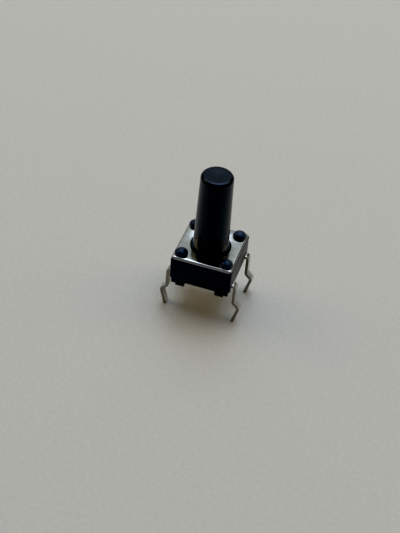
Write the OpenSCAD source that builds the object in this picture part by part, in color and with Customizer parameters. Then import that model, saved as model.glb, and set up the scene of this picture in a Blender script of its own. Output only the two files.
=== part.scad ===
// Tactile push button switch for a circuit board: 6 mm square form, long stem, four kinked legs.
// X runs along the front, Y to the back and Z up. The origin is midway between the four leg tips.

/* [Housing] */
// Width of the square housing
housing_w = 6.1; // [5.8:0.1:9]
// Height of the housing, from its underside to the cover plate
housing_h = 2.7; // [2.4:0.05:4]
// Radius of the housing's upright corners
housing_corner_r = 0.1; // [0.1:0.05:0.6]
// How far the sides step in along their lower edge
side_step = 0.18; // [0.05:0.01:0.3]
// Height of the stepped-in strip above the underside
side_step_h = 0.35; // [0.1:0.05:0.6]
// Thickness of floor left over the terminals in the contact well
floor_over_terminal = 0.15; // [0.1:0.05:0.3]

/* [Feet and corner pads] */
// Height of the feet that stand on the board
foot_h = 0.5; // [0.3:0.05:1]
// Width of each square foot
foot_w = 0.9; // [0.5:0.05:1.2]
// Width of the low pad at each corner, which is also how far each foot is from the side
pad_w = 0.61; // [0.4:0.02:0.8]
// How far the pads reach down from the underside
pad_h = 0.25; // [0.05:0.05:0.28]
// Gap between the two pads of one side
pad_gap = 1.7; // [1:0.1:3]

/* [Posts] */
// Diameter of the posts that pass through the cover plate
post_d = 1.0; // [0.7:0.05:1.2]
// Distance of each post's axis from the housing's sides
post_inset = 0.8; // [0.7:0.05:1]
// How far a staked head stands out around its post
head_lip = 0.15; // [0.05:0.025:0.15]
// Height of a head's straight rim
head_rim_h = 0.22; // [0.05:0.01:0.3]
// Height of the crown above the rim
head_crown_h = 0.36; // [0.1:0.01:0.5]

/* [Cover plate] */
// Thickness of the cover's sheet
cover_t = 0.3; // [0.2:0.02:0.5]
// Margin of housing left outside the cover
cover_margin = 0.05; // [0:0.01:0.15]
// Radius of the cover's corners
cover_corner_r = 0.3; // [0.2:0.05:1]
// Radius of the cover's rolled top edge
cover_edge_r = 0.16; // [0.05:0.01:0.18]
// Clearance around each post in its hole
post_clearance = 0.05; // [0.02:0.01:0.1]

/* [Plunger] */
// Height of the stem above the cover plate
stem_h = 8.5; // [0.8:0.1:20]
// Diameter of the stem at its top
stem_top_d = 3.1; // [2:0.1:3.6]
// Radius of the stem's top edge
stem_edge_r = 0.35; // [0.1:0.05:0.6]
// Diameter of the collar in the cover's hole
collar_d = 3.8; // [3.4:0.1:4.6]
// Width of the ledge between the collar and the stem
collar_ledge = 0.15; // [0.05:0.01:0.3]
// Height of the collar above the cover plate
collar_above = 0.15; // [0.05:0.01:0.5]
// Clearance around the collar in the cover's hole
collar_clearance = 0.075; // [0.02:0.005:0.1]
// How far the flange reaches out under the cover
flange_lip = 0.35; // [0.2:0.05:0.5]
// Thickness of the flange
flange_t = 0.6; // [0.4:0.05:1]
// Clearance around the flange in the housing's well
flange_clearance = 0.12; // [0.05:0.01:0.2]
// Diameter of the nub that presses the dome
nub_d = 1.2; // [0.8:0.1:1.6]

/* [Snap dome] */
// Diameter of the snap dome
dome_d = 4.1; // [3.6:0.1:4.4]
// Thickness of the snap dome
dome_t = 0.08; // [0.05:0.01:0.12]
// Height that the dome gives way, which is the plunger's travel
travel = 0.25; // [0.15:0.01:0.35]
// Clearance around the dome in its pocket
dome_clearance = 0.08; // [0.03:0.01:0.15]
// Depth of the dome's pocket below the well
pocket_h = 0.5; // [0.3:0.05:0.6]

/* [Terminals] */
// Thickness of the terminals' strip
strip_t = 0.3; // [0.2:0.02:0.4]
// Width of the legs and of the strip between them
strip_w = 0.7; // [0.5:0.05:0.9]
// Distance between the front legs and the rear legs
leg_pitch = 4.5; // [4:0.1:5.4]
// Height of the strip's lower face above the housing's underside
exit_h = 0.65; // [0.5:0.05:1]
// Distance of the leg's middle from the housing's side
leg_out = 0.35; // [0.3:0.05:0.8]
// Length of the legs below the feet
leg_h = 3.3; // [2.5:0.1:5]
// Where the kink starts, below the feet
kink_start = 0.85; // [0.5:0.05:1.2]
// Where the kink reaches furthest out, below the feet
kink_peak = 1.45; // [1.3:0.05:2]
// How far the kink moves the leg out
kink_out = 0.58; // [0.2:0.02:0.8]
// How far out the tip is from the leg's straight part
tip_out = 0.1; // [0:0.02:0.3]
// Bend radius where the leg turns down
exit_bend_r = 0.3; // [0.2:0.02:0.4]
// Bend radius of the kink
kink_bend_r = 0.28; // [0.2:0.02:0.4]
// Width of the tongue and the arms that carry the contacts
arm_w = 0.6; // [0.4:0.05:0.8]
// Diameter of the round contact at the centre
contact_d = 0.9; // [0.5:0.05:1.1]
// Length of each side contact under the dome's rim
side_contact_l = 0.9; // [0.5:0.1:1.4]
// Width of each side contact
side_contact_w = 0.4; // [0.25:0.05:0.5]
// How far the contacts stand up from the well's floor
contact_above = 0.05; // [0.02:0.01:0.1]

/* [Hidden] */
$fn = 96;
// Segments in the arc of each bend and of the stem's top edge
bend_steps = 8;
// How far a cutting shape runs past the face it cuts
cut = 1;

// Levels above the leg tips
underside_z = leg_h + foot_h;
housing_top_z = underside_z + housing_h;
cover_top_z = housing_top_z + cover_t;
stem_top_z = cover_top_z + stem_h;
strip_z = underside_z + exit_h;
floor_z = strip_z + strip_t + floor_over_terminal;
contact_z = floor_z + contact_above;
dome_top_z = contact_z + travel + dome_t;
well_z = floor_z + pocket_h;

// Half widths and radii that follow from the pieces they fit
side_x = housing_w / 2;
post_xy = side_x - post_inset;
leg_y = leg_pitch / 2;
collar_r = collar_d / 2;
stem_base_r = collar_r - collar_ledge;
stem_top_r = stem_top_d / 2;
flange_r = collar_r + flange_lip;
well_r = flange_r + flange_clearance;
cover_hole_r = collar_r + collar_clearance;
dome_r = dome_d / 2;
// The side contacts lie centred under the dome's rim
side_contact_x = dome_r;

function unit(v) = v / norm(v);
function left_of(v) = unit([-v.y, v.x]);
function shortest_turn(w) = w > 180 ? w - 360 : w < -180 ? w + 360 : w;

// Points of the arc that rounds corner b of a path a-b-c with radius r, set off by d to the left.
function corner_arc(a, b, c, r, d) =
    let (
        back = unit(a - b),
        ahead = unit(c - b),
        half = acos(back * ahead) / 2,
        centre = b + unit(back + ahead) * r / sin(half),
        first = b + back * r / tan(half) - centre,
        last = b + ahead * r / tan(half) - centre,
        start = atan2(first.y, first.x),
        sweep = shortest_turn(atan2(last.y, last.x) - start),
        radius = r - sign(cross(b - a, c - b)) * d
    )
    [for (i = [0:bend_steps]) let (w = start + sweep * i / bend_steps) centre + radius * [cos(w), sin(w)]];

// The end of a path that arrives along v, set off by d to the left and cut level at height zero.
function level_end(p, v, d) = let (q = p + d * left_of(v)) q - v * q.y / v.y;

// One face of a bent strip: the path set off by d to its left, with each corner rounded.
function strip_face(path, radii, d) =
    let (last = len(path) - 1)
    concat(
        [level_end(path[0], path[1] - path[0], d)],
        [for (i = [1:last - 1]) each corner_arc(path[i - 1], path[i], path[i + 1], radii[i - 1], d)],
        [level_end(path[last], path[last] - path[last - 1], d)]
    );

function reversed(list) = [for (i = [len(list) - 1:-1:0]) list[i]];
function mirrored(p) = [-p.x, p.y];

// Middle line of the right half of a terminal in X and Z: where it turns down, its kink and its tip.
leg_x = side_x + leg_out;
half_path = [
    [leg_x, strip_z + strip_t / 2],
    [leg_x, leg_h - kink_start],
    [leg_x + kink_out, leg_h - kink_peak],
    [leg_x + tip_out, 0]
];
half_radii = [exit_bend_r, kink_bend_r, kink_bend_r];
strip_path = concat(reversed([for (p = half_path) mirrored(p)]), half_path);
strip_radii = concat(reversed(half_radii), half_radii);

// A flat square of width w with its corners rounded by r.
module rounded_square(w, r) {
    square([w - 2 * r, w], center = true);
    square([w, w - 2 * r], center = true);
    for (x = [-1, 1], y = [-1, 1])
        translate([x, y] * (w / 2 - r)) circle(r);
}

// The four posts' places, each turned into its own quarter.
module at_posts() {
    for (x = [-1, 1], y = [-1, 1])
        translate([x * post_xy, y * post_xy, 0]) children();
}

// Section of the cover's sheet, with both top corners rounded, carried across its width w.
module rolled_edge_slab(w) {
    rotate([90, 0, 0])
        linear_extrude(w, center = true) {
            translate([-w / 2, 0]) square([w, cover_t - cover_edge_r]);
            translate([cover_edge_r - w / 2, 0]) square([w - 2 * cover_edge_r, cover_t]);
            for (x = [-1, 1])
                translate([x * (w / 2 - cover_edge_r), cover_t - cover_edge_r]) circle(cover_edge_r);
        }
}

// Housing block with its sides stepped in along the lower edge.
module housing_block() {
    step_w = housing_w - 2 * side_step;
    translate([0, 0, underside_z + side_step_h])
        linear_extrude(housing_h - side_step_h) rounded_square(housing_w, housing_corner_r);
    translate([0, 0, underside_z])
        linear_extrude(side_step_h)
            intersection() {
                rounded_square(housing_w, housing_corner_r);
                square([step_w, housing_w], center = true);
            }
}

// Low pads along the sides and the feet beside them, all flush with the front and the back.
module feet_and_pads() {
    pad_l = (housing_w - pad_gap) / 2;
    for (x = [-1, 1], y = [-1, 1]) {
        translate([x * (side_x - (pad_w + side_step) / 2), y * (side_x - pad_l / 2), underside_z - pad_h / 2])
            cube([pad_w - side_step, pad_l, pad_h], center = true);
        translate([x * (side_x - pad_w - foot_w / 2), y * (side_x - foot_w / 2), leg_h + foot_h / 2])
            cube([foot_w, foot_w, foot_h], center = true);
    }
}

// A post with its staked head: a straight shank, a rim and a crown that is part of a sphere.
module staked_post() {
    head_r = post_d / 2 + head_lip;
    crown_r = (head_r * head_r + head_crown_h * head_crown_h) / (2 * head_crown_h);
    rim_top_z = cover_top_z + head_rim_h;
    translate([0, 0, housing_top_z - cover_t]) cylinder(h = 2 * cover_t, d = post_d);
    translate([0, 0, cover_top_z]) cylinder(h = head_rim_h, r = head_r);
    intersection() {
        translate([0, 0, rim_top_z]) cylinder(h = head_crown_h, r = head_r);
        translate([0, 0, rim_top_z + head_crown_h - crown_r]) sphere(crown_r);
    }
}

// Moulded base: housing, feet, pads and posts in one piece, hollowed for the plunger and the dome.
module base() {
    color("#17181b")
        difference() {
            union() {
                housing_block();
                feet_and_pads();
                at_posts() staked_post();
            }
            translate([0, 0, well_z]) cylinder(h = housing_top_z - well_z, r = well_r);
            translate([0, 0, floor_z]) cylinder(h = pocket_h, r = dome_r + dome_clearance);
            front_terminal();
            rear_terminal();
        }
}

// Blanked cover: a thin square sheet with rolled edges and corners, held by the posts.
module cover_plate() {
    cover_w = housing_w - 2 * cover_margin;
    color("#a9acad")
        difference() {
            translate([0, 0, housing_top_z])
                intersection() {
                    linear_extrude(cover_t) rounded_square(cover_w, cover_corner_r);
                    rolled_edge_slab(cover_w);
                    rotate([0, 0, 90]) rolled_edge_slab(cover_w);
                }
            translate([0, 0, housing_top_z - cut]) cylinder(h = cover_t + 2 * cut, r = cover_hole_r);
            at_posts()
                translate([0, 0, housing_top_z - cut])
                    cylinder(h = cover_t + 2 * cut, d = post_d + 2 * post_clearance);
        }
}

// Plunger: nub, flange, collar and tapered stem as one turned outline.
module plunger() {
    collar_top_z = cover_top_z + collar_above;
    edge_centre = [stem_top_r - stem_edge_r, stem_top_z - stem_edge_r];
    top_edge = [
        for (i = [0:bend_steps])
            let (w = 90 * i / bend_steps) edge_centre + stem_edge_r * [cos(w), sin(w)]
    ];
    outline = concat(
        [
            [0, dome_top_z],
            [nub_d / 2, dome_top_z],
            [nub_d / 2, housing_top_z - flange_t],
            [flange_r, housing_top_z - flange_t],
            [flange_r, housing_top_z],
            [collar_r, housing_top_z],
            [collar_r, collar_top_z],
            [stem_base_r, collar_top_z]
        ],
        top_edge,
        [[0, stem_top_z]]
    );
    color("#121316") rotate_extrude() polygon(outline);
}

// Snap dome: a shallow shell between two spheres about one centre, trimmed to a round rim.
module snap_dome() {
    rim_r = dome_r - dome_t;
    inner_r = (rim_r * rim_r + travel * travel) / (2 * travel);
    centre_z = contact_z + travel - inner_r;
    color("#c4c6c8")
        difference() {
            intersection() {
                translate([0, 0, contact_z]) cylinder(h = cut, r = dome_r);
                translate([0, 0, centre_z]) sphere(inner_r + dome_t);
            }
            translate([0, 0, centre_z]) sphere(inner_r);
        }
}

// Bent strip with a leg at each end, its middle along the line y.
module leg_strip(y) {
    translate([0, y, 0])
        rotate([90, 0, 0])
            linear_extrude(strip_w, center = true)
                polygon(concat(
                    strip_face(strip_path, strip_radii, strip_t / 2),
                    reversed(strip_face(strip_path, strip_radii, -strip_t / 2))
                ));
}

// Front terminal: both front legs, and a tongue with the round contact under the dome's middle.
module front_terminal() {
    color("#b9b8b4") {
        leg_strip(-leg_y);
        translate([-arm_w / 2, -leg_y, strip_z]) cube([arm_w, leg_y, strip_t]);
        translate([0, 0, strip_z]) cylinder(h = contact_z - strip_z, d = contact_d);
    }
}

// Rear terminal: both rear legs, and two arms with a contact under each side of the dome's rim.
module rear_terminal() {
    arm_l = leg_y + side_contact_l / 2;
    color("#b9b8b4") {
        leg_strip(leg_y);
        for (x = [-1, 1]) {
            translate([x * side_contact_x - arm_w / 2, leg_y - arm_l, strip_z]) cube([arm_w, arm_l, strip_t]);
            translate([x * side_contact_x, 0, (strip_z + contact_z) / 2])
                cube([side_contact_w, side_contact_l, contact_z - strip_z], center = true);
        }
    }
}

base();
cover_plate();
plunger();
snap_dome();
front_terminal();
rear_terminal();
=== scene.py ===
"""Looks of a tactile push button switch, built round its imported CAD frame.

Every visible piece is a closed skin of rings worked out with numpy, in millimetres, and is put in
metres when its mesh is made. Levels and widths are read from the CAD pieces that each skin stands for.
"""

import math

import bmesh
import bpy
import numpy as np
from mathutils import Matrix, Vector

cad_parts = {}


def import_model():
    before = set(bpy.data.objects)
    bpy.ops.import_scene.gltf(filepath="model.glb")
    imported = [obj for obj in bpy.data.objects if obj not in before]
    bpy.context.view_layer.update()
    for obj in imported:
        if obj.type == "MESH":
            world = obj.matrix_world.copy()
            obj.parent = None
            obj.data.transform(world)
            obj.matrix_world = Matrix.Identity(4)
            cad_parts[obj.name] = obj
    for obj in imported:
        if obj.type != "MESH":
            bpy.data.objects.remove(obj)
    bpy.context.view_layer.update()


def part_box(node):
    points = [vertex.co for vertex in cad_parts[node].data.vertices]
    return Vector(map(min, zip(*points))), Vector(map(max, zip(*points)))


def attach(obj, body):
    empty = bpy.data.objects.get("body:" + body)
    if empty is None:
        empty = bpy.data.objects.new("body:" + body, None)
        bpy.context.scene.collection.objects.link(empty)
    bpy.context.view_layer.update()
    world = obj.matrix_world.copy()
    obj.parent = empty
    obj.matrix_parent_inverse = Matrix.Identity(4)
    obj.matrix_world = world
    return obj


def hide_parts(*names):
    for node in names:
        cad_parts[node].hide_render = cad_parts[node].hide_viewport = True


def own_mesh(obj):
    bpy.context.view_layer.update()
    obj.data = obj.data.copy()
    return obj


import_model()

MM = 0.001
WELD_MM = 0.0005
# Share of its width at which a flat end gets one more ring round its middle point
END_RING = 0.5


def cad_box(node):
    """Lowest and highest corner of a CAD node, in millimetres."""
    low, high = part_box(node)
    return np.array(low) / MM, np.array(high) / MM


# ---------------------------------------------------------------------------------------------
# Sizes, in millimetres
# ---------------------------------------------------------------------------------------------

base_low, base_high = cad_box("base")
cover_low, cover_high = cad_box("cover_plate")
plunger_low, plunger_high = cad_box("plunger")
dome_low, dome_high = cad_box("snap_dome")
front_low, front_high = cad_box("front_terminal")
rear_high = cad_box("rear_terminal")[1]

# Housing
side_x = base_high[0]
feet_z = base_low[2]
foot_h = 0.5
foot_w = 0.9
foot_edge_r = 0.05
pad_w = 0.61
pad_h = 0.25
pad_gap = 1.7
pad_edge_r = 0.04
buried_h = 0.2
underside_z = feet_z + foot_h
housing_top_z = cover_low[2]
side_step = 0.18
side_step_h = 0.35
side_step_z = underside_z + side_step_h
housing_corner_r = 0.1
mould_edge_r = 0.06
well_gap = 0.12
well_r = plunger_high[0] + well_gap
pocket_gap = 0.08
pocket_r = dome_high[0] + pocket_gap
dome_seat_h = 0.05
floor_z = dome_low[2] - dome_seat_h
pocket_h = 0.5
ledge_z = floor_z + pocket_h

# Posts with their staked heads
post_r = 0.5
post_inset = 0.8
post_xy = side_x - post_inset
post_buried_h = 0.4
head_r = 0.65
head_edge_r = 0.04
head_rim_h = 0.22
head_top_z = base_high[2]

# Cover
cover_top_z = cover_high[2]
cover_half = cover_high[0]
cover_corner_r = 0.3
cover_roll_w = 0.22
cover_roll_h = 0.12
drill_past = 0.5
cover_hole_r = 1.975
punched_edge_r = 0.05
post_hole_r = 0.55

# Plunger
nub_z = plunger_low[2]
nub_r = 0.6
flange_r = plunger_high[0]
flange_t = 0.6
collar_r = 1.9
collar_h = 0.15
collar_z = cover_top_z + collar_h
stem_base_r = 1.75
stem_top_r = 1.55
stem_top_z = plunger_high[2]
stem_edge_r = 0.35
stem_dish = 0.035
collar_edge_r = 0.05
turned_edge_r = 0.04
axis_r = 0.05

# Snap dome
dome_t = 0.08
dome_rise = dome_high[2] - dome_low[2] - dome_t

# Terminals
strip_t = 0.3
strip_w = 0.7
strip_edge_r = 0.035
strip_lift = 0.65
strip_z = underside_z + strip_lift + strip_t / 2
leg_out = 0.35
leg_x = side_x + leg_out
kink_out = 0.58
kink_x = leg_x + kink_out
tip_out = 0.1
tip_x = leg_x + tip_out
kink_start_h = 0.85
kink_start_z = feet_z - kink_start_h
kink_peak_h = 1.45
kink_peak_z = feet_z - kink_peak_h
exit_bend_r = 0.3
kink_bend_r = 0.28
front_leg_y = front_low[1] + strip_w / 2
rear_leg_y = rear_high[1] - strip_w / 2
arm_w = 0.6
contact_r = 0.45
side_contact_l = 0.9
side_contact_w = 0.4
contact_edge_r = 0.02


# ---------------------------------------------------------------------------------------------
# Curves and skins
# ---------------------------------------------------------------------------------------------

def unit(v):
    """A direction divided by its own length."""
    return v / np.linalg.norm(v)


def left_of(v):
    """A flat direction turned a quarter turn to the left."""
    return unit(np.array([-v[1], v[0]]))


def soft_path(corners, steps=6):
    """A flat path through corners (x, y, radius), each turned into an arc of its radius.

    An arc's centre lies on the corner's bisector, radius / sin(half the angle) from the corner. Its points
    turn evenly from one tangent point to the other. Gives the points and the unit normals to their left.
    """
    corners = np.asarray(corners, float)
    points, radii = corners[:, :2], corners[:, 2]
    rows, normals = [points[:1]], [left_of(points[1] - points[0])[None]]
    for i in range(1, len(points) - 1):
        back, ahead = unit(points[i - 1] - points[i]), unit(points[i + 1] - points[i])
        if radii[i] == 0:
            rows.append(points[i : i + 1])
            normals.append(unit(left_of(-back) + left_of(ahead))[None])
            continue
        half = math.acos(np.clip(back @ ahead, -1, 1)) / 2
        centre = points[i] + unit(back + ahead) * radii[i] / math.sin(half)
        start = points[i] + back * radii[i] / math.tan(half) - centre
        turn = np.sign(-back[0] * ahead[1] + back[1] * ahead[0])
        swept = np.linspace(0, math.pi - 2 * half, steps + 1)
        angle = math.atan2(start[1], start[0]) + turn * swept
        radial = np.stack([np.cos(angle), np.sin(angle)], 1)
        rows.append(centre + radii[i] * radial)
        normals.append(-turn * radial)
    rows.append(points[-1:])
    normals.append(left_of(points[-1] - points[-2])[None])
    return np.concatenate(rows), np.concatenate(normals)


def square_outline(half, radius, arc_steps=8, flat_steps=36):
    """Points round a square of that half width with corners of that radius, and their outward normals.

    Each quarter is an arc about its own corner centre, then evenly spaced points along the next side.
    """
    points, normals = [], []
    along = np.arange(1, flat_steps)[:, None] / flat_steps
    for quarter in range(4):
        angle = math.radians(90 * quarter) + np.linspace(0, math.pi / 2, arc_steps + 1)
        normal = np.stack([np.cos(angle), np.sin(angle)], 1)
        middle = math.radians(90 * quarter + 45)
        centre = (half - radius) * np.sign([math.cos(middle), math.sin(middle)])
        arc = centre + radius * normal
        next_start = np.array([-arc[0, 1], arc[0, 0]])
        points += [arc, arc[-1] + along * (next_start - arc[-1])]
        normals += [normal, np.repeat(normal[-1:], flat_steps - 1, 0)]
    return np.concatenate(points), np.concatenate(normals)


def ring(flat, z):
    """A flat ring of points lifted to the level z."""
    return np.column_stack([flat, np.full(len(flat), z)])


def lathe(profile, around=128):
    """Rings of a surface turned about Z: each (radius, z) of the profile goes once round the circle."""
    angle = np.linspace(0, 2 * math.pi, around, endpoint=False)
    profile = np.asarray(profile, float)
    radius, z = profile[:, 0, None], profile[:, 1, None]
    flat = np.broadcast_to(z, (len(profile), around))
    return np.stack([radius * np.cos(angle), radius * np.sin(angle), flat], 2)


def soft_box(low, high, radius, steps=4):
    """Rings of a box with rounded edges: a small sphere pulled apart at its equator and meridians.

    A point is (sign of its normal) * (inner half size) + radius * normal, for normals that cover the
    sphere one octant at a time, so the flat faces are the quads between the octants.
    """
    low, high = np.asarray(low, float), np.asarray(high, float)
    inner = (high - low) / 2 - radius
    quarter = np.linspace(0, math.pi / 2, steps + 1)
    round_about = np.concatenate([quarter + k * math.pi / 2 for k in range(4)])
    sign_x = np.repeat([1, -1, -1, 1], steps + 1)
    sign_y = np.repeat([1, 1, -1, -1], steps + 1)
    up = np.concatenate([quarter - math.pi / 2, quarter])
    sign_z = np.repeat([-1, 1], steps + 1)
    level, turn = np.meshgrid(up, round_about, indexing="ij")
    normal = np.stack([np.cos(level) * np.cos(turn), np.cos(level) * np.sin(turn), np.sin(level)], 2)
    side = np.stack(np.broadcast_arrays(sign_x[None, :], sign_y[None, :], sign_z[:, None]), 2)
    return (low + high) / 2 + side * inner + radius * normal


def mesh_of(name, rings, looped=False, open_end=False, flip=False):
    """A closed mesh over rings of points: quads between neighbours, and a fan over each end.

    looped joins the last ring to the first instead, as on a plate with a hole. open_end leaves the last
    ring without its fan, as on the floor. flip turns the faces over, for rings that run the other way.
    Points that meet are welded, and then the faces are made to point outwards.
    """
    count, around = rings.shape[:2]
    points = rings.reshape(-1, 3)
    index = np.arange(count * around).reshape(count, around)
    following = np.roll(index, -1, 1)
    if looped:
        lower, upper = (index, following), (np.roll(index, -1, 0), np.roll(following, -1, 0))
    else:
        lower, upper = (index[:-1], following[:-1]), (index[1:], following[1:])
    faces = np.stack([lower[0], lower[1], upper[1], upper[0]], 2).reshape(-1, 4).tolist()
    if not looped:
        faces += np.stack([following[0], index[0], np.full(around, len(points))], 1).tolist()
        points = np.concatenate([points, rings[0].mean(0)[None]])
    if not looped and not open_end:
        faces += np.stack([index[-1], following[-1], np.full(around, len(points))], 1).tolist()
        points = np.concatenate([points, rings[-1].mean(0)[None]])
    if flip:
        faces = [face[::-1] for face in faces]
    mesh = bpy.data.meshes.new(name)
    mesh.from_pydata((points * MM).tolist(), [], faces)
    welded = bmesh.new()
    welded.from_mesh(mesh)
    bmesh.ops.remove_doubles(welded, verts=welded.verts, dist=WELD_MM * MM)
    bmesh.ops.dissolve_degenerate(welded, edges=welded.edges, dist=WELD_MM * MM)
    bmesh.ops.recalc_face_normals(welded, faces=welded.faces)
    welded.to_mesh(mesh)
    welded.free()
    return mesh


def shell(name, rings, **ways):
    """An object of its own for one closed skin."""
    made = bpy.data.objects.new(name, mesh_of(name, rings, **ways))
    bpy.context.scene.collection.objects.link(made)
    return made


def combine(name, first, others, operation="UNION"):
    """One closed mesh from several skins, added to the first or cut from it."""
    for other in others:
        step = first.modifiers.new("combine", "BOOLEAN")
        step.operation = operation
        step.solver = "MANIFOLD"
        step.object = other
    bpy.context.view_layer.update()
    joined = first.evaluated_get(bpy.context.evaluated_depsgraph_get())
    result = bpy.data.meshes.new_from_object(joined)
    for used in [first, *others]:
        bpy.data.objects.remove(used)
    made = bpy.data.objects.new(name, result)
    bpy.context.scene.collection.objects.link(made)
    return made


def finish_piece(piece, node, material, body="switch_body", crease=32):
    """Shading, finish and place of a piece: faces meet softly up to the crease angle, in degrees."""
    piece.name = node + "_piece"
    mesh = piece.data
    mesh.polygons.foreach_set("use_smooth", np.ones(len(mesh.polygons), bool))
    mesh.set_sharp_from_angle(angle=math.radians(crease))
    weighted = piece.modifiers.new("even_shading", "WEIGHTED_NORMAL")
    weighted.keep_sharp = True
    mesh.materials.clear()
    mesh.materials.append(material)
    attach(piece, body)
    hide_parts(node)
    return piece


# ---------------------------------------------------------------------------------------------
# Pieces
# ---------------------------------------------------------------------------------------------

def four_corners():
    """The signs of x and y at the four corners."""
    return [(x, y) for x in (-1, 1) for y in (-1, 1)]


def housing_block():
    """The hollow block: rings run from the pocket's floor up the well, over the rim and down outside.

    Inside they are circles. Outside they are the square outline set in by the edge radius where the edge
    is rounded, and cut off at the step along the lower edge of the two sides.
    """
    outline, normal = square_outline(side_x, housing_corner_r)
    around = unit_circle_like(outline)
    inside = [(pocket_r * END_RING, floor_z), (pocket_r, floor_z), (pocket_r, ledge_z),
              (well_r, ledge_z), (well_r, housing_top_z - mould_edge_r),
              (well_r + mould_edge_r, housing_top_z)]
    rings = [ring(around * r, z) for r, z in inside]
    edge = np.linspace(0, math.pi / 2, 5)
    for turn in edge:
        inset = mould_edge_r * (1 - math.sin(turn))
        rings.append(ring(outline - inset * normal, housing_top_z - mould_edge_r * (1 - math.cos(turn))))
    stepped = outline.copy()
    stepped[:, 0] = np.clip(outline[:, 0], side_step - side_x, side_x - side_step)
    rings.append(ring(outline, side_step_z))
    rings.append(ring(stepped, side_step_z))
    for turn in edge:
        inset = mould_edge_r * (1 - math.cos(turn))
        rings.append(ring(stepped - inset * normal, underside_z + mould_edge_r * (1 - math.sin(turn))))
    rings.append(ring(stepped * END_RING, underside_z))
    return shell("housing_block", np.stack(rings), flip=True)


def unit_circle_like(outline):
    """Points of a unit circle in the same directions from the centre as an outline's points."""
    return outline / np.linalg.norm(outline, axis=1)[:, None]


def staked_post(x, y):
    """A post: its shank, the head's rim, and a crown on an arc that passes through rim and top."""
    rim_z = cover_top_z + head_rim_h
    crown_h = head_top_z - rim_z
    crown_r = (head_r ** 2 + crown_h ** 2) / (2 * crown_h)
    reach = math.asin(head_r / crown_r)
    angle = np.linspace(reach, 0, 9)[:-1]
    crown = np.stack([crown_r * np.sin(angle), head_top_z - crown_r * (1 - np.cos(angle))], 1)
    lower, _ = soft_path([(post_r, housing_top_z - post_buried_h, 0), (post_r, cover_top_z, 0),
                          (head_r, cover_top_z, head_edge_r), (head_r, rim_z, 0)], steps=4)
    rings = lathe(np.concatenate([lower[:-1], crown]), around=48)
    return shell("post", rings + [x * post_xy, y * post_xy, 0])


def base_piece(material):
    """The moulded base: block, feet, pads and posts as one closed mesh."""
    pad_l = side_x - pad_gap / 2
    root_z = underside_z + buried_h
    parts = [staked_post(x, y) for x, y in four_corners()]
    for x, y in four_corners():
        ends_x = sorted([x * (side_x - side_step), x * (side_x - pad_w)])
        ends_y = sorted([y * side_x, y * (side_x - pad_l)])
        parts.append(shell("pad", soft_box([ends_x[0], ends_y[0], underside_z - pad_h],
                                           [ends_x[1], ends_y[1], root_z], pad_edge_r)))
        ends_x = sorted([x * (side_x - pad_w), x * (side_x - pad_w - foot_w)])
        ends_y = sorted([y * side_x, y * (side_x - foot_w)])
        parts.append(shell("foot", soft_box([ends_x[0], ends_y[0], feet_z],
                                            [ends_x[1], ends_y[1], root_z], foot_edge_r)))
    return finish_piece(combine("base", housing_block(), parts), "base", material)


def cover_piece(material):
    """The blanked cover: rings round the hole, out over the flat, over the rolled edge and back below.

    The rolled edge is a quarter of an ellipse, wider than it is high. The sheared side is below it.
    """
    outline, normal = square_outline(cover_half, cover_corner_r)
    around = unit_circle_like(outline)
    rings = [ring(around * cover_hole_r, cover_low[2])]
    for turn in np.linspace(0, math.pi / 2, 4):
        rings.append(ring(around * (cover_hole_r + punched_edge_r * (1 - math.cos(turn))),
                          cover_top_z - punched_edge_r * (1 - math.sin(turn))))
    for turn in np.linspace(0, math.pi / 2, 9):
        rings.append(ring(outline - cover_roll_w * (1 - math.sin(turn)) * normal,
                          cover_top_z - cover_roll_h * (1 - math.cos(turn))))
    rings.append(ring(outline, cover_low[2]))
    plate = shell("cover", np.stack(rings), looped=True, flip=True)
    holes = []
    for x, y in four_corners():
        ends = [(post_hole_r, cover_low[2] - drill_past), (post_hole_r, cover_top_z + drill_past)]
        drill = lathe(ends, around=48)
        holes.append(shell("drill", drill + [x * post_xy, y * post_xy, 0]))
    made = combine("cover_plate", plate, holes, "DIFFERENCE")
    return finish_piece(made, "cover_plate", material)


def plunger_piece(material):
    """The plunger turned from one outline: nub, flange, collar, tapered stem and slightly dished top.

    The dish lies stem_dish * (1 - reach squared) squared below the top, for a reach of 1 at its rim.
    """
    outline, _ = soft_path([
        (axis_r, nub_z, 0),
        (nub_r, nub_z, turned_edge_r),
        (nub_r, housing_top_z - flange_t, 0),
        (flange_r, housing_top_z - flange_t, turned_edge_r),
        (flange_r, housing_top_z, turned_edge_r),
        (collar_r, housing_top_z, 0),
        (collar_r, collar_z, collar_edge_r),
        (stem_base_r, collar_z, turned_edge_r),
        (stem_top_r, stem_top_z, stem_edge_r),
        (axis_r, stem_top_z, 0),
    ], steps=8)
    flat_r = stem_top_r - stem_edge_r
    reach = np.linspace(0.98, 0.04, 16)
    dish = np.stack([flat_r * reach, stem_top_z - stem_dish * (1 - reach ** 2) ** 2], 1)
    rings = lathe(np.concatenate([outline[:-1], dish]), around=160)
    return finish_piece(shell("plunger", rings), "plunger", material, "plunger")


def dome_piece(material):
    """The snap dome: two spheres about one centre, from the middle out to the rim and back inside."""
    rim_r = dome_high[0]
    inner_rim_r = rim_r - dome_t
    inner_r = (inner_rim_r ** 2 + dome_rise ** 2) / (2 * dome_rise)
    centre_z = dome_low[2] + dome_rise - inner_r
    outer_r = inner_r + dome_t
    reach = np.linspace(0.02, 1, 24)
    outer = rim_r * reach
    top = np.stack([outer, centre_z + np.sqrt(outer_r ** 2 - outer ** 2)], 1)
    inner = inner_rim_r * reach[::-1]
    below = np.stack([inner, centre_z + np.sqrt(inner_r ** 2 - inner ** 2)], 1)
    rings = lathe(np.concatenate([top, [[rim_r, dome_low[2]]], below]), around=96)
    made = finish_piece(shell("snap_dome", rings, flip=True), "snap_dome", material)
    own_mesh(made)
    return made


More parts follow.
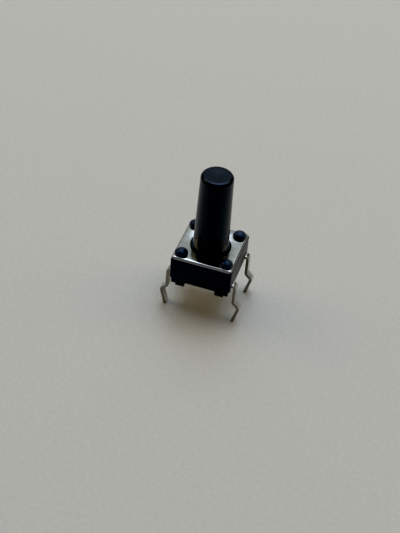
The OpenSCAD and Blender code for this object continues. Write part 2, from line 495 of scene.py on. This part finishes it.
def strip_section():
    """Section of the strip: a rectangle with rounded edges, as (through its thickness, along Y)."""
    angle = np.linspace(0, math.pi / 2, 4)
    section = []
    for quarter in range(4):
        middle = math.radians(90 * quarter + 45)
        corner = np.sign([math.cos(middle), math.sin(middle)]) * (
            np.array([strip_t, strip_w]) / 2 - strip_edge_r)
        turn = angle + math.radians(90 * quarter)
        section.append(corner + strip_edge_r * np.stack([np.cos(turn), np.sin(turn)], 1))
    return np.concatenate(section)


def bent_strip(y):
    """A strip from leg tip to leg tip: its section is carried along the bent path in X and Z.

    A point is path + through * normal, at y + along. The end sections slide along the leg to the level of
    the tips, because the legs are sheared level.
    """
    half = [(leg_x, strip_z, exit_bend_r), (leg_x, kink_start_z, kink_bend_r),
            (kink_x, kink_peak_z, kink_bend_r), (tip_x, 0, 0)]
    path, normal = soft_path([(-x, z, r) for x, z, r in half[::-1]] + half, steps=9)
    section = strip_section()
    rings = path[:, None] + section[None, :, :1] * normal[:, None]
    for end, before in ((0, 1), (-1, -2)):
        along = path[end] - path[before]
        rings[end] -= np.outer(rings[end][:, 1] / along[1], along)
    side = np.broadcast_to(y + section[None, :, 1], rings.shape[:2])
    return np.stack([rings[..., 0], side, rings[..., 1]], 2)


def terminal_pieces(material):
    """The two terminals: a bent strip each, with the flat arms and coined contacts under the dome."""
    low_z, high_z = strip_z - strip_t / 2, strip_z + strip_t / 2
    top_z = front_high[2]
    tongue = shell("tongue", soft_box([-arm_w / 2, front_leg_y, low_z], [arm_w / 2, 0, high_z],
                                      contact_edge_r))
    button = shell("button", lathe([(contact_r, low_z), (contact_r, top_z - contact_edge_r),
                                    (contact_r - contact_edge_r, top_z)], around=48))
    front = combine("front", shell("strip", bent_strip(front_leg_y)), [tongue, button])
    arms = []
    for x in (-1, 1):
        middle = x * dome_high[0]
        arms.append(shell("arm", soft_box([middle - arm_w / 2, -side_contact_l / 2, low_z],
                                          [middle + arm_w / 2, rear_leg_y, high_z], contact_edge_r)))
        arms.append(shell("contact", soft_box(
            [middle - side_contact_w / 2, -side_contact_l / 2, low_z],
            [middle + side_contact_w / 2, side_contact_l / 2, top_z], contact_edge_r)))
    rear = combine("rear", shell("strip", bent_strip(rear_leg_y)), arms)
    finish_piece(front, "front_terminal", material)
    finish_piece(rear, "rear_terminal", material)


# ---------------------------------------------------------------------------------------------
# Materials
# ---------------------------------------------------------------------------------------------

# Gloss level of the black plastics, a little under the usual 0.5
PLASTIC_SPECULAR = 0.42
# Colour of that gloss on faces seen square on. Its blue is painted light: it stands in for the bluish light
# from overhead that the plastics reflect
PLASTIC_PAINTED_SKY_GLOSS = "#b8d4ff"

# A noise lies mostly near 0.5. The narrow span spreads its middle out, for the soft clouds in a colour.
# The wide one is for grain and gloss
CLOUD_LOW, CLOUD_HIGH = 0.35, 0.65
GRAIN_LOW, GRAIN_HIGH = 0.3, 0.7

# Sockets of a Mix node's colours by number, because their names find the ones for plain numbers
MIX_FACTOR, MIX_FIRST, MIX_SECOND = 0, 6, 7
MIXED = 2


def linear(hex_colour):
    """An sRGB hex colour as linear red, green, blue and alpha."""
    parts = [int(hex_colour[i : i + 2], 16) / 255 for i in (1, 3, 5)]
    return [c / 12.92 if c <= 0.04045 else ((c + 0.055) / 1.055) ** 2.4 for c in parts] + [1]


def add(tree, kind, inputs=None, **settings):
    """A node with its settings. An input takes a value, or another node's output, which is linked."""
    made = tree.nodes.new("ShaderNode" + kind)
    for name, value in settings.items():
        setattr(made, name, value)
    for name, value in (inputs or {}).items():
        if isinstance(value, bpy.types.NodeSocket):
            tree.links.new(value, made.inputs[name])
        else:
            made.inputs[name].default_value = value
    return made


def material_and_tree(name):
    """A new material with an empty node tree."""
    material = bpy.data.materials.new(name)
    material.use_nodes = True
    material.node_tree.nodes.clear()
    return material, material.node_tree


def apart(spacing_mm):
    """Noise scale that puts its features that many millimetres apart."""
    return 1 / (spacing_mm * MM)


def moulded_nylon():
    """Glass-filled nylon, moulded in a spark-eroded tool.

    The fine matt grain spreads what little light the black resin returns, so faces seen square on stay
    black and faces seen at a slant turn soft grey. Above the cover the resin is given a blue-grey tint,
    which stands in for the cool light from overhead that the domed heads pick up. The grain is drawn
    0.06 mm apart, about twice as coarse as it is, so that it shows.
    """
    material, tree = material_and_tree("moulded_glass_filled_nylon")
    where = add(tree, "TexCoord").outputs["Object"]
    cloud = add(tree, "TexNoise", {"Vector": where, "Scale": apart(0.45), "Detail": 3})
    grain = add(tree, "TexNoise", {"Vector": where, "Scale": apart(0.06), "Detail": 2})
    tone = add(tree, "MapRange", {"Value": cloud.outputs[0], "From Min": CLOUD_LOW, "From Max": CLOUD_HIGH})
    resin = add(tree, "Mix", {
        MIX_FACTOR: tone.outputs[0],
        MIX_FIRST: linear("#05080e"),
        MIX_SECOND: linear("#080c14"),
    }, data_type="RGBA")
    height = add(tree, "SeparateXYZ", {0: where}).outputs["Z"]
    above = add(tree, "MapRange", {
        "Value": height,
        "From Min": housing_top_z * MM,
        "From Max": cover_top_z * MM,
    })
    colour = add(tree, "Mix", {
        MIX_FACTOR: above.outputs[0],
        MIX_FIRST: resin.outputs[MIXED],
        MIX_SECOND: linear("#1e2b3c"),
    }, data_type="RGBA")
    matt = add(tree, "MapRange", {
        "Value": grain.outputs[0],
        "From Min": GRAIN_LOW,
        "From Max": GRAIN_HIGH,
        "To Min": 0.28,
        "To Max": 0.38,
    })
    relief = add(tree, "Bump", {"Height": grain.outputs[0], "Distance": 0.006 * MM})
    shader = add(tree, "BsdfPrincipled", {
        "Base Color": colour.outputs[MIXED],
        "Roughness": matt.outputs[0],
        "Normal": relief.outputs[0],
        "IOR": 1.5,
        "Specular IOR Level": PLASTIC_SPECULAR,
        # Blue gloss tint: painted light, the colour of the overhead light
        "Specular Tint": linear(PLASTIC_PAINTED_SKY_GLOSS),
    })
    add(tree, "OutputMaterial", {"Surface": shader.outputs[0]})
    return material


def moulded_acetal():
    """Acetal, moulded in a polished tool.

    It is smoother than the housing: a satin gloss, with faint drag lines along the stem, 0.09 mm apart,
    where it slid out of the tool.
    """
    material, tree = material_and_tree("moulded_acetal")
    where = add(tree, "TexCoord").outputs["Object"]
    # Drawn out to 25 times their width along the stem
    drawn = add(tree, "Mapping", {"Vector": where, "Scale": (1, 1, 0.04)})
    cloud = add(tree, "TexNoise", {"Vector": where, "Scale": apart(0.8), "Detail": 3})
    drag = add(tree, "TexNoise", {"Vector": drawn.outputs[0], "Scale": apart(0.09), "Detail": 2})
    tone = add(tree, "MapRange", {"Value": cloud.outputs[0], "From Min": CLOUD_LOW, "From Max": CLOUD_HIGH})
    colour = add(tree, "Mix", {
        MIX_FACTOR: tone.outputs[0],
        MIX_FIRST: linear("#05080e"),
        MIX_SECOND: linear("#070b12"),
    }, data_type="RGBA")
    satin = add(tree, "MapRange", {
        "Value": drag.outputs[0],
        "From Min": GRAIN_LOW,
        "From Max": GRAIN_HIGH,
        "To Min": 0.18,
        "To Max": 0.26,
    })
    relief = add(tree, "Bump", {"Height": drag.outputs[0], "Distance": 0.002 * MM})
    shader = add(tree, "BsdfPrincipled", {
        "Base Color": colour.outputs[MIXED],
        "Roughness": satin.outputs[0],
        "Normal": relief.outputs[0],
        "IOR": 1.48,
        "Specular IOR Level": PLASTIC_SPECULAR,
        # Blue gloss tint: painted light, the colour of the overhead light
        "Specular Tint": linear(PLASTIC_PAINTED_SKY_GLOSS),
    })
    add(tree, "OutputMaterial", {"Surface": shader.outputs[0]})
    return material


def rolled_stainless():
    """Stainless sheet, cold rolled and blanked.

    Fine rolling lines along X blur the reflections across them, and the sheet keeps a soft silvery shine.
    The lines are drawn 0.05 mm apart, about three times as coarse as they are, so that they show. Where
    the surface turns from up to sideways, at the blanked edge and in the holes, the metal is painted
    darker:
    painted shade, for the dark room that these faces reflect.
    """
    material, tree = material_and_tree("rolled_stainless_sheet")
    where = add(tree, "TexCoord").outputs["Object"]
    # Drawn out to 33 times their width along X
    rolled = add(tree, "Mapping", {"Vector": where, "Scale": (0.03, 1, 1)})
    cloud = add(tree, "TexNoise", {"Vector": where, "Scale": apart(0.9), "Detail": 3})
    lines = add(tree, "TexNoise", {"Vector": rolled.outputs[0], "Scale": apart(0.05), "Detail": 4})
    tone = add(tree, "MapRange", {"Value": cloud.outputs[0], "From Min": CLOUD_LOW, "From Max": CLOUD_HIGH})
    sheet = add(tree, "Mix", {
        MIX_FACTOR: tone.outputs[0],
        MIX_FIRST: linear("#a6aaa9"),
        MIX_SECOND: linear("#b3b7b5"),
    }, data_type="RGBA")
    facing = add(tree, "SeparateXYZ", {0: add(tree, "TexCoord").outputs["Normal"]})
    # Painted shade: faces turned from up towards sideways (the steep part of the rolled edge, the blanked
    # side, the holes) get a darker colour, for the dark room they reflect
    sheared_side_and_painted_shade = add(tree, "MapRange", {"Value": facing.outputs["Z"], "From Min": 0.55, "From Max": 0.2})
    colour = add(tree, "Mix", {
        MIX_FACTOR: sheared_side_and_painted_shade.outputs[0],
        MIX_FIRST: sheet.outputs[MIXED],
        MIX_SECOND: linear("#85888a"),
    }, data_type="RGBA")
    satin = add(tree, "MapRange", {
        "Value": lines.outputs[0],
        "From Min": GRAIN_LOW,
        "From Max": GRAIN_HIGH,
        "To Min": 0.13,
        "To Max": 0.19,
    })
    relief = add(tree, "Bump", {"Height": lines.outputs[0], "Distance": 0.001 * MM})
    shader = add(tree, "BsdfPrincipled", {
        "Base Color": colour.outputs[MIXED],
        "Metallic": 1,
        "Roughness": satin.outputs[0],
        "Normal": relief.outputs[0],
    })
    add(tree, "OutputMaterial", {"Surface": shader.outputs[0]})
    return material


def matt_tin():
    """Matt tin plate over brass strip.

    The plated grain, 0.05 mm across, gives a pale grey metal with a dull, slightly clouded shine. The
    strip's two sheared sides, which face along Y, are darker than its plated faces.
    """
    material, tree = material_and_tree("matt_tin_plate")
    where = add(tree, "TexCoord").outputs["Object"]
    cloud = add(tree, "TexNoise", {"Vector": where, "Scale": apart(0.3), "Detail": 3})
    grain = add(tree, "TexNoise", {"Vector": where, "Scale": apart(0.05), "Detail": 2})
    tone = add(tree, "MapRange", {"Value": cloud.outputs[0], "From Min": CLOUD_LOW, "From Max": CLOUD_HIGH})
    plated = add(tree, "Mix", {
        MIX_FACTOR: tone.outputs[0],
        MIX_FIRST: linear("#b0afac"),
        MIX_SECOND: linear("#c4c3c0"),
    }, data_type="RGBA")
    facing = add(tree, "SeparateXYZ", {0: add(tree, "TexCoord").outputs["Normal"]})
    sideways = add(tree, "Math", {0: facing.outputs["Y"]}, operation="ABSOLUTE")
    # Here the mask marks the strip's sheared sides, whose bare brass is darker than the plating
    sheared_side_and_painted_shade = add(tree, "MapRange", {"Value": sideways.outputs[0], "From Min": 0.75, "From Max": 0.95})
    colour = add(tree, "Mix", {
        MIX_FACTOR: sheared_side_and_painted_shade.outputs[0],
        MIX_FIRST: plated.outputs[MIXED],
        MIX_SECOND: linear("#827f78"),
    }, data_type="RGBA")
    dull = add(tree, "MapRange", {
        "Value": cloud.outputs[0],
        "From Min": GRAIN_LOW,
        "From Max": GRAIN_HIGH,
        "To Min": 0.16,
        "To Max": 0.24,
    })
    relief = add(tree, "Bump", {"Height": grain.outputs[0], "Distance": 0.003 * MM})
    shader = add(tree, "BsdfPrincipled", {
        "Base Color": colour.outputs[MIXED],
        "Metallic": 1,
        "Roughness": dull.outputs[0],
        "Normal": relief.outputs[0],
    })
    add(tree, "OutputMaterial", {"Surface": shader.outputs[0]})
    return material


def spring_stainless():
    """Spring stainless, hard rolled and pressed: a bright, clean metal, faintly clouded by the press."""
    material, tree = material_and_tree("pressed_spring_stainless")
    where = add(tree, "TexCoord").outputs["Object"]
    cloud = add(tree, "TexNoise", {"Vector": where, "Scale": apart(0.5), "Detail": 3})
    tone = add(tree, "MapRange", {"Value": cloud.outputs[0], "From Min": CLOUD_LOW, "From Max": CLOUD_HIGH})
    colour = add(tree, "Mix", {
        MIX_FACTOR: tone.outputs[0],
        MIX_FIRST: linear("#bcbec0"),
        MIX_SECOND: linear("#cbcdce"),
    }, data_type="RGBA")
    bright = add(tree, "MapRange", {
        "Value": cloud.outputs[0],
        "From Min": GRAIN_LOW,
        "From Max": GRAIN_HIGH,
        "To Min": 0.14,
        "To Max": 0.22,
    })
    shader = add(tree, "BsdfPrincipled", {
        "Base Color": colour.outputs[MIXED],
        "Metallic": 1,
        "Roughness": bright.outputs[0],
    })
    add(tree, "OutputMaterial", {"Surface": shader.outputs[0]})
    return material


def painted_board():
    """Painted board for the floor: matt, pale, and faintly mottled by the paint's skin."""
    material, tree = material_and_tree("painted_board")
    where = add(tree, "TexCoord").outputs["Object"]
    skin = add(tree, "TexNoise", {"Vector": where, "Scale": apart(0.4), "Detail": 4})
    tone = add(tree, "MapRange", {"Value": skin.outputs[0], "From Min": GRAIN_LOW, "From Max": GRAIN_HIGH})
    colour = add(tree, "Mix", {
        MIX_FACTOR: tone.outputs[0],
        MIX_FIRST: linear("#c7c9c1"),
        MIX_SECOND: linear("#cdcfc7"),
    }, data_type="RGBA")
    relief = add(tree, "Bump", {"Height": skin.outputs[0], "Distance": 0.005 * MM})
    shader = add(tree, "BsdfPrincipled", {
        "Base Color": colour.outputs[MIXED],
        "Roughness": 0.85,
        "Normal": relief.outputs[0],
        "IOR": 1.45,
        "Specular IOR Level": 0.2,
    })
    add(tree, "OutputMaterial", {"Surface": shader.outputs[0]})
    return material


# ---------------------------------------------------------------------------------------------
# Floor, light and camera
# ---------------------------------------------------------------------------------------------

# Floor and the low wall round it, in millimetres
floor_r = 420
floor_bend_r = 80
wall_h = 130

# Lamps: name, azimuth and elevation in degrees, distance and width in metres, power in watts, colour
LAMPS = [
    ("overhead", 12, 75, 0.5, 0.42, 1.22, "#e0eaff"),
    ("behind", -15, 38, 0.55, 0.62, 0.62, "#eef5f2"),
    ("high_behind", -22, 60, 0.6, 0.3, 0.4, "#e2ecff"),
    ("right", 65, 45, 0.6, 0.3, 0.37, "#ffe4ba"),
    ("left", -85, 45, 0.6, 0.3, 0.54, "#ffe4ba"),
    ("front", 160, 36, 0.65, 1.2, 0.36, "#ffeccf"),
]

# Faint light from all round
ROOM_COLOUR = "#ffa04c"
ROOM_STRENGTH = 0.026

# Light level, in red, green and blue, that comes out black
BLACK_LEVEL = (0.0105, 0.0105, 0.0125)

# Camera: its turns in degrees, its place in millimetres from the switch's middle, and its lens
camera_azimuth = 14.56
camera_elevation = 42.43
camera_roll = 5.21
camera_distance = 104.8
camera_aside = 1.058
camera_above = 2.24
camera_mid_z = 7.0
camera_lens_mm = 73.3
camera_near_m = 0.005
camera_far_m = 5


def floor_and_backdrop(material):
    """A round floor that curves up into a low wall all round: one profile turned about Z."""
    profile, _ = soft_path([(0.5, 0, 0), (floor_r, 0, floor_bend_r), (floor_r, wall_h, 0)], steps=16)
    made = shell("floor", lathe(profile, around=96), open_end=True, flip=True)
    mesh = made.data
    mesh.polygons.foreach_set("use_smooth", np.ones(len(mesh.polygons), bool))
    mesh.materials.append(material)


def soft_light(name, azimuth, elevation, distance, size, power, colour):
    """A square soft light that faces the switch's foot. Azimuth 0 is behind it and 90 at its right."""
    a, e = math.radians(azimuth), math.radians(elevation)
    place = Vector((math.sin(a) * math.cos(e), math.cos(a) * math.cos(e), math.sin(e))) * distance
    data = bpy.data.lights.new(name, "AREA")
    data.size = size
    data.energy = power
    data.color = linear(colour)[:3]
    made = bpy.data.objects.new(name, data)
    made.location = place
    made.rotation_euler = (-place).to_track_quat("-Z", "Y").to_euler()
    bpy.context.scene.collection.objects.link(made)


def camera():
    """The camera looks down at the switch from its front, a little to its right, slightly rolled."""
    azimuth, elevation = math.radians(camera_azimuth), math.radians(camera_elevation)
    roll = math.radians(camera_roll)
    back = Vector((math.sin(azimuth) * math.cos(elevation), -math.cos(azimuth) * math.cos(elevation),
                   math.sin(elevation)))
    level = Vector((math.cos(azimuth), math.sin(azimuth), 0))
    rise = back.cross(level)
    right = math.cos(roll) * level + math.sin(roll) * rise
    up = math.cos(roll) * rise - math.sin(roll) * level
    middle = Vector((0, 0, camera_mid_z))
    place = middle + camera_distance * back - camera_aside * right - camera_above * up
    data = bpy.data.cameras.new("camera")
    data.lens = camera_lens_mm
    data.clip_start, data.clip_end = camera_near_m, camera_far_m
    made = bpy.data.objects.new("camera", data)
    turned = Matrix((right, up, back)).transposed().to_4x4()
    made.matrix_world = Matrix.Translation(place * MM) @ turned
    bpy.context.scene.collection.objects.link(made)
    bpy.context.scene.camera = made


def world(colour, strength):
    """Even light from all round, for the soft shadows."""
    made = bpy.data.worlds.new("studio")
    made.use_nodes = True
    background = made.node_tree.nodes["Background"]
    background.inputs["Color"].default_value = linear(colour)
    background.inputs["Strength"].default_value = strength
    bpy.context.scene.world = made


def tone_curve():
    """How light turns to tones: more contrast than plain, and the faintest light comes out black."""
    tones = bpy.context.scene.view_settings
    tones.view_transform = "Standard"
    tones.look = "Medium High Contrast"
    tones.use_curve_mapping = True
    tones.curve_mapping.black_level = BLACK_LEVEL


base_piece(moulded_nylon())
cover_piece(rolled_stainless())
plunger_piece(moulded_acetal())
dome_piece(spring_stainless())
terminal_pieces(matt_tin())

floor_and_backdrop(painted_board())
for lamp in LAMPS:
    soft_light(*lamp)
world(ROOM_COLOUR, ROOM_STRENGTH)
camera()
tone_curve()
